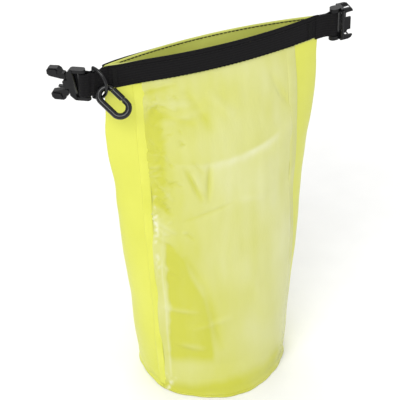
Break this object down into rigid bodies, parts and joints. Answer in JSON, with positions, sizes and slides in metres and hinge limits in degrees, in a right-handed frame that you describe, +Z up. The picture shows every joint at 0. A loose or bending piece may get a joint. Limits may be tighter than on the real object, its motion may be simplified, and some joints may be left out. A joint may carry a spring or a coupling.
{
  "type": "dry bag",
  "caption": "Small open roll-top dry bag: welded coated-fabric tube with a clear front window, webbing-bound mouth, side-release buckle, D-ring and plastic carabiner.",
  "frame": {"origin": "centre of the base's underside", "axes": "+Z up through the mouth, +X along the mouth towards the socket, -Y the side with the clear window"},
  "size_m": [0.2451, 0.1196, 0.3081],
  "materials": {
    "fabric": "coated, satin",
    "fabric_edge": "coated, satin",
    "film": "clear flexible film",
    "film_seam": "welded film over fabric",
    "webbing": "woven",
    "thread": "bar tack",
    "plastic": "moulded, semi-gloss",
    "steel": "pin"
  },
  "bodies": {
    "bag": {"base_disc": "fabric", "base_weld": "fabric_edge", "base_band": "fabric_edge", "body_panel": "fabric", "window_panel": "film", "window_weld_left": "film_seam", "window_weld_right": "film_seam", "neck_panel": "fabric", "neck_window": "film"},
    "rim": {"hem_front": "fabric_edge", "hem_back": "fabric_edge", "strap_front": "webbing", "strap_back": "webbing", "corner_tack_left": "thread", "corner_tack_right": "thread"},
    "left_webbing": {"tail_left": "webbing"},
    "ring": {"d_ring": "plastic"},
    "carabiner": {"carabiner_body": "plastic", "carabiner_pin": "steel"},
    "gate": {"carabiner_gate": "plastic"},
    "plug": {"plug_frame": "plastic"},
    "upper_arm": {"plug_arm_upper": "plastic"},
    "lower_arm": {"plug_arm_lower": "plastic"},
    "right_webbing": {"tail_right": "webbing"},
    "socket": {"socket_body": "plastic"}
  },
  "joints": [
    {"name": "mouth_fold", "type": "hinge", "parent": "bag", "child": "rim", "pos_m": [0, 0, 0.258], "axis": [1, 0, 0], "range_deg": [-65, 65], "deforming": ["neck_panel", "neck_window"]},
    {"name": "left_tail_bend", "type": "hinge", "parent": "rim", "child": "left_webbing", "pos_m": [-0.09423, 0.00081, 0.2905], "axis": [0, 0, 1], "range_deg": [-55, 0]},
    {"name": "d_ring_swing", "type": "hinge", "parent": "left_webbing", "child": "ring", "pos_m": [-0.09729, 0.00132, 0.2911], "axis": [0, 0, 1], "range_deg": [-45, 0]},
    {"name": "carabiner_swing", "type": "hinge", "parent": "ring", "child": "carabiner", "pos_m": [-0.0918, -0.009, 0.2854], "axis": [0.2058, -0.3871, 0.8988], "range_deg": [-14, 15]},
    {"name": "gate_open", "type": "hinge", "parent": "carabiner", "child": "gate", "pos_m": [-0.07991, -0.02087, 0.28185], "axis": [0.3814, 0.594, -0.7083], "range_deg": [-25, 0], "stiffness_Nm_per_rad": 0.02, "springref_deg": 8.59},
    {"name": "plug_swivel", "type": "hinge", "parent": "left_webbing", "child": "plug", "pos_m": [-0.1035, 0.00236, 0.2905], "axis": [-0.1543, 0.0258, 0.9877], "range_deg": [-27, 90]},
    {"name": "upper_arm_flex", "type": "hinge", "parent": "plug", "child": "upper_arm", "pos_m": [-0.115, 0.01213, 0.29614], "axis": [-0.669, -0.7384, -0.0852], "range_deg": [0, 10], "stiffness_Nm_per_rad": 0.3},
    {"name": "lower_arm_flex", "type": "hinge", "parent": "plug", "child": "lower_arm", "pos_m": [-0.11266, 0.01173, 0.28113], "axis": [0.669, 0.7384, 0.0852], "range_deg": [0, 10], "stiffness_Nm_per_rad": 0.3},
    {"name": "right_tail_bend", "type": "hinge", "parent": "rim", "child": "right_webbing", "pos_m": [0.0943, 0, 0.2941], "axis": [0, 0, 1], "range_deg": [-60, 60]},
    {"name": "socket_swivel", "type": "hinge", "parent": "right_webbing", "child": "socket", "pos_m": [0.1028, 0, 0.2941], "axis": [0, 0, 1], "range_deg": [-60, 60]}
  ]
}
